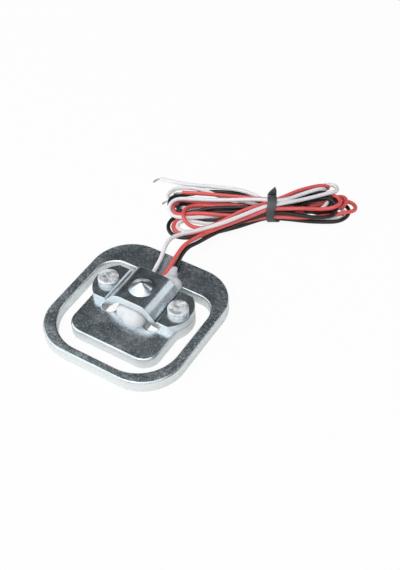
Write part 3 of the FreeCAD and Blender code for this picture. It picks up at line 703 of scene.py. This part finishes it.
def new_piece(name, corners, faces, material):
    """A mesh piece from corners in millimetres, shaded smooth."""
    mesh = bpy.data.meshes.new(name)
    mesh.from_pydata([tuple(corner) for corner in np.asarray(corners) * MM], [], faces)
    mesh.update()
    mesh.polygons.foreach_set("use_smooth", [True] * len(mesh.polygons))
    mesh.materials.append(material)
    piece = bpy.data.objects.new(name, mesh)
    scene.collection.objects.link(piece)
    return piece


def finished_mesh(piece):
    """The piece's mesh with its modifiers applied, and the modifiers taken off."""
    view = bpy.context.evaluated_depsgraph_get()
    mesh = bpy.data.meshes.new_from_object(piece.evaluated_get(view))
    piece.modifiers.clear()
    piece.data = mesh
    return mesh


# Silicone: the drops it was laid down in, as a middle, three half sizes and how boxy each is, in mm
DROPS = (
    ((0.05, -1.4, 2.9), (3.65, 2.7, 2.2), 2.6),
    ((1.25, -2.3, 2.8), (2.65, 2.55, 2.0), 2.5),
    ((0.0, 3.1, 2.9), (3.7, 5.4, 2.1), 4.0),
    ((2.5, 9.2, 2.7), (2.7, 2.4, 2.1), 2.7),
    ((1.35, 11.2, 2.8), (1.3, 2.2, 1.6), 2.3),
    ((1.0, 12.7, 3.1), (0.85, 1.35, 1.2), 2.0),
    ((0.55, 12.6, 4.0), (0.6, 1.2, 0.6), 2.0),
    ((1.25, 13.3, 3.5), (0.68, 0.95, 0.72), 2.0),
)
DROP_RINGS = 24
DROP_SPOKES = 48
DROP_VOXEL = 0.16
PLATE_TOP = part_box("spring_plate")[1].z / MM
# The bridge over it: its front and back, and its underside, which is level in the middle and then falls
BRIDGE_FRONT, BRIDGE_BACK = (corner.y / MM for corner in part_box("load_bridge"))
BRIDGE_MARGIN = 0.3
UNDERSIDE = 5.4
UNDERSIDE_HALF = 3.1
UNDERSIDE_SLOPE = 1.2


def drop_mesh(drop, corners, faces):
    """Adds one rounded drop to a mesh that is being collected."""
    middle, half, boxy = (np.array(part) for part in drop)
    first = len(corners)
    for ring in range(DROP_RINGS + 1):
        rise = math.pi * ring / DROP_RINGS
        for spoke in range(DROP_SPOKES):
            turn = 2 * math.pi * spoke / DROP_SPOKES
            level = math.sin(rise)
            way = np.array((level * math.cos(turn), level * math.sin(turn), math.cos(rise)))
            corners.append(middle + half * way / (np.abs(way) ** boxy).sum() ** (1 / boxy))
    for ring in range(DROP_RINGS):
        low = first + ring * DROP_SPOKES
        high = low + DROP_SPOKES
        for spoke in range(DROP_SPOKES):
            after = (spoke + 1) % DROP_SPOKES
            faces.append((low + spoke, high + spoke, high + after, low + after))


def make_silicone(material):
    """The drops run together, flat on the plate and kept under the bridge."""
    corners, faces = [], []
    for drop in DROPS:
        drop_mesh(drop, corners, faces)
    piece = new_piece("silicone", corners, faces, material)
    together = piece.modifiers.new("run together", "REMESH")
    together.mode = "VOXEL"
    together.voxel_size = DROP_VOXEL * MM
    together.use_smooth_shade = True
    ease = piece.modifiers.new("surface tension", "SMOOTH")
    ease.factor = 0.5
    ease.iterations = 14
    mesh = finished_mesh(piece)
    for corner in mesh.vertices:
        x, y, z = np.array(corner.co) / MM
        if BRIDGE_FRONT - BRIDGE_MARGIN < y < BRIDGE_BACK + BRIDGE_MARGIN:
            z = min(z, UNDERSIDE - max(0.0, abs(x) - UNDERSIDE_HALF) * UNDERSIDE_SLOPE)
        corner.co.z = max(z, PLATE_TOP) * MM
    mesh.materials.clear()
    mesh.materials.append(material)
    mesh.polygons.foreach_set("use_smooth", [True] * len(mesh.polygons))
    return piece


# Tie: a flat strap with rounded edges. Its end is cut to a point that stands up behind the hank
STRAP_TRIM = 0.15
STRAP = TIE_WIDTH - STRAP_TRIM
TIE_EDGE = 0.14
EDGE_STEPS = (0, 30, 60, 90)
TIE_TURNS = 72
TIE_LEAN = 0.1
# Where the strap strays on its way round: the middle angle, the reach to either side, and how far
LEFT_LEAN = (165.0, 75.0, -0.36)
LEFT_NARROWING = (175.0, 50.0, -0.4)
LAPPED_FOOT = (238.0, 26.0, 0.75)
POINT_ROWS = 26
POINT_TOP = 6.45
POINT_SHOULDER = 4.55
POINT_WIDTH = 0.5
POINT_NARROWEST = 2.2 * TIE_EDGE
POINT_CURVE = 1.7
POINT_BEND = 0.8
# The point's straight edge turns in by this much over the last part of its height
CORNER_CUT = 0.3
CORNER_START = 0.7


def strap_section(width):
    """Round the strap's section: along the hank and outward from the band's inside."""
    side = width / 2 - TIE_EDGE
    low, high = TIE_EDGE, TIE_THICKNESS - TIE_EDGE
    section = []
    for middle, lift, turn in ((side, high, 90), (side, low, 0), (-side, low, -90), (-side, high, 180)):
        for step in EDGE_STEPS:
            angle = math.radians(turn - step)
            section.append((middle + TIE_EDGE * math.cos(angle), lift + TIE_EDGE * math.sin(angle)))
    return section


def stray(angle, middle, reach, most):
    """The most at the middle angle, falling to 0 at the reach on either side, in degrees."""
    away = abs((math.degrees(angle) - middle + 180) % 360 - 180)
    return most * (0.5 + 0.5 * math.cos(math.pi * min(1.0, away / reach)))


def join_rings(faces, first, second, count):
    for side in range(count):
        beside = (side + 1) % count
        faces.append((first + side, first + beside, second + beside, second + side))


def tie_band(corners, faces):
    """The strap on its way round the waist, where it wanders a little."""
    for turn in range(TIE_TURNS):
        angle = 2 * math.pi * turn / TIE_TURNS
        lean = TIE_LEAN + stray(angle, *LEFT_LEAN)
        foot = stray(angle, *LAPPED_FOOT) + stray(angle, *LEFT_NARROWING)
        for along, out in strap_section(STRAP + foot):
            radius = WAIST / 2 + out
            across, height = radius * math.cos(angle), WAIST_HEIGHT + radius * math.sin(angle)
            corners.append((along + lean + foot / 2, across, height))
    count = len(corners) // TIE_TURNS
    for turn in range(TIE_TURNS):
        join_rings(faces, turn * count, (turn + 1) % TIE_TURNS * count, count)


def tie_point(corners, faces):
    """The strap's end, cut slantwise above its shoulder and leaning back as it climbs."""
    first = len(corners)
    half = STRAP / 2
    for row in range(POINT_ROWS + 1):
        climb = row / POINT_ROWS
        height = WAIST_HEIGHT + (POINT_TOP - WAIST_HEIGHT) * climb
        past = max(0.0, (height - POINT_SHOULDER) / (POINT_TOP - POINT_SHOULDER))
        left = -half + (STRAP - POINT_WIDTH) * past**POINT_CURVE
        right = half - CORNER_CUT * max(0.0, past - CORNER_START) / (1 - CORNER_START)
        middle = (left + right) / 2 + TIE_LEAN
        for along, out in strap_section(max(right - left, POINT_NARROWEST)):
            corners.append((middle + along, WAIST / 2 + out + POINT_BEND * climb**2, height))
    count = (len(corners) - first) // (POINT_ROWS + 1)
    for row in range(POINT_ROWS):
        join_rings(faces, first + row * count, first + (row + 1) * count, count)
    last = first + POINT_ROWS * count
    faces.append(tuple(range(first, first + count)))
    faces.append(tuple(range(last, last + count))[::-1])


def make_tie(material):
    corners, faces = [], []
    tie_band(corners, faces)
    tie_point(corners, faces)
    return new_piece("tie_strap", hank_to_row(corners), faces, material)


# Floor, light and surroundings: how much of the floor is plain white to the camera, and in the metal
GLOW_SEEN = 0.93
GLOW_MIRRORED = 0.12
FLOOR_HALF = 1.5
FLOOR_DROP = 0.02 * MM
FLOOR_TONE = (0.93, 0.93, 0.93, 1.0)
WHITE = (1.0, 1.0, 1.0, 1.0)
# The surroundings' brightness by height, from level (0) to straight up (1), and a cool tint between
SKY_TOP = (0.13, 0.13, 0.13, 1.0)
SKY_BANDS = ((0.08, 0.9), (0.2, 0.2), (0.4, 0.125), (0.85, 0.125))
SKY_TINT = (0.94, 1.0, 1.04)
# The way to the back, the part of it over which the surroundings dim, and what is left of them there
BEHIND = (-0.56, 0.83, 0.0)
BEHIND_RANGE = (0.3, 0.9)
BEHIND_SHARE = 0.3
AIM = (0.0, 0.015, 0.0)


def make_floor():
    low, high = -FLOOR_HALF, FLOOR_HALF
    mesh = bpy.data.meshes.new("floor")
    mesh.from_pydata([(low, low, 0), (high, low, 0), (high, high, 0), (low, high, 0)], [], [(0, 1, 2, 3)])
    floor = bpy.data.objects.new("floor", mesh)
    floor.location.z = -FLOOR_DROP
    scene.collection.objects.link(floor)
    material, shader = new_material("floor")
    shader.inputs["Base Color"].default_value = FLOOR_TONE
    shader.inputs["Roughness"].default_value = 0.9
    glow = add(material, "ShaderNodeEmission", Strength=1.0)
    path = add(material, "ShaderNodeLightPath")
    mirrored = value_step(material, "MULTIPLY", path.outputs["Is Glossy Ray"], GLOW_MIRRORED)
    seen = value_step(material, "MAXIMUM", path.outputs["Is Camera Ray"], mirrored)
    mix = add(material, "ShaderNodeMixShader", Fac=value_step(material, "MULTIPLY", seen, GLOW_SEEN))
    feed(material, mix.inputs[1], shader.outputs["BSDF"])
    feed(material, mix.inputs[2], glow.outputs["Emission"])
    output = material.node_tree.nodes["Material Output"]
    feed(material, output.inputs["Surface"], mix.outputs["Shader"])
    mesh.materials.append(material)


def make_lamp(name, place, size, power, turn=0.0):
    """A rectangle of light that faces the part."""
    data = bpy.data.lights.new(name, "AREA")
    data.shape = "RECTANGLE"
    data.size, data.size_y = size
    data.energy = power
    lamp = bpy.data.objects.new(name, data)
    lamp.location = place
    aim = (Vector(AIM) - Vector(place)).to_track_quat("-Z", "Y")
    lamp.rotation_euler = (aim @ Quaternion((0.0, 0.0, 1.0), turn)).to_euler()
    scene.collection.objects.link(lamp)


def make_world():
    """Bright low down in front, dim high up and behind, and plain white where the camera sees it."""
    world = bpy.data.worlds.new("studio")
    world.use_nodes = True
    scene.world = world
    where = add(world, "ShaderNodeTexCoord").outputs["Generated"]
    ramp = add(world, "ShaderNodeValToRGB", Fac=axes(world, where)["Z"])
    bands = ramp.color_ramp.elements
    bands[0].color = WHITE
    bands[1].color = SKY_TOP
    for height, tone in SKY_BANDS:
        bands.new(height).color = (*(tone * part for part in SKY_TINT), 1.0)
    dim = spread(world, vector_step(world, "DOT_PRODUCT", where, BEHIND), 1.0, BEHIND_SHARE, *BEHIND_RANGE)
    shade = mix_colours(world, 1.0, ramp.outputs["Color"], dim, "MULTIPLY")
    path = add(world, "ShaderNodeLightPath")
    seen = mix_colours(world, path.outputs["Is Camera Ray"], shade, WHITE)
    background = world.node_tree.nodes["Background"]
    feed(world, background.inputs["Color"], seen)
    background.inputs["Strength"].default_value = 1.0


make_camera()

# The part's materials
plated = plated_look(
    "plated_steel",
    blotch=260.0,
    gloss=(0.19, 0.29),
    fleck=0.18,
    wall_tones=((0.80, 0.84, 0.84), (0.88, 0.91, 0.91)),
)
wear_rim(plated, *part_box("spring_plate"))
bridge_plated = plated_look(
    "plated_steel_bent",
    blotch=420.0,
    gloss=(0.20, 0.26),
    fleck=0.07,
    wall_tones=((0.80, 0.84, 0.86), (0.91, 0.93, 0.94)),
    grain=(1.0, 0.35, 1.0),
)
# Painted shade in the bridge's two creases
paint_crease_shade(bridge_plated)
insulation = {
    "white": insulation_look("white_insulation", (0.86, 0.86, 0.89), (0.90, 0.90, 0.92), 0.34),
    "red": insulation_look("red_insulation", (0.80, 0.115, 0.11), (0.86, 0.14, 0.13), 0.32),
    "black": insulation_look("black_insulation", (0.010, 0.009, 0.009), (0.018, 0.015, 0.015), 0.28),
}
tinned = plain_look(
    "tinned_copper", (0.50, 0.44, 0.38), (0.72, 0.68, 0.62), roughness=0.35, metallic=1.0, scale=2500.0
)
tie_look = plain_look(
    "tie_plastic", (0.060, 0.065, 0.066), (0.10, 0.107, 0.108), roughness=0.38, scale=420.0, grain=0.01 * MM
)
silicone_look = plain_look(
    "silicone", (0.75, 0.77, 0.80), (0.79, 0.81, 0.84), roughness=0.38, scale=300.0, grain=0.01 * MM
)
film_look = plain_look("gauge_film", (0.42, 0.24, 0.06), (0.52, 0.32, 0.10), roughness=0.4)
foil_look = plain_look("gauge_metal", (0.60, 0.50, 0.36), (0.72, 0.62, 0.46), roughness=0.3, metallic=1.0)
solder_look = plain_look("solder", (0.55, 0.56, 0.58), (0.70, 0.71, 0.73), roughness=0.3, metallic=1.0)

# The nodes that keep their shape
looks = {
    "spring_plate": plated,
    "load_bridge": bridge_plated,
    "rivets": rivet_look("rivet_steel"),
    "gauge_carrier": film_look,
    "gauge_foil": foil_look,
}
for colour in insulation:
    looks["solder_joint_" + colour] = solder_look
    looks[colour + "_core"] = tinned
for name, look in looks.items():
    nodes[name].data.materials.clear()
    nodes[name].data.materials.append(look)

# The pieces that replace plainer nodes, the wires last
for piece, slot, node in (
    (make_silicone(silicone_look), "silicone", "silicone_cover"),
    (make_tie(tie_look), "tie_plastic", "hank_tie"),
):
    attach(piece, "root")
    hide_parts(node)

colours = list(LEAD_ROUTES)
for colour, points in zip(colours, settle([hank_route(colour) for colour in colours])):
    wire = make_wire(colour, points, insulation[colour])
    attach(wire, "root")
    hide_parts(colour + "_lead", colour + "_tail", "wire_hank")
    strands = make_strands(colour, tinned)
    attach(strands, "root")
    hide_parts(colour + "_tip")
    round(spline_length(points), 3)

# The floor and the light
make_floor()
make_world()
make_lamp("key", (-0.46, -0.36, 0.56), size=(1.25, 1.25), power=6.0)
make_lamp("top", (-0.06, 0.01, 0.85), size=(0.5, 0.5), power=1.0)
make_lamp("fill", (0.32, -0.42, 0.66), size=(0.9, 0.9), power=3.0)
make_lamp("back_right", (0.46, 0.51, 0.49), size=(0.22, 0.56), power=0.50, turn=math.radians(-32.0))
scene.view_settings.view_transform = "Standard"
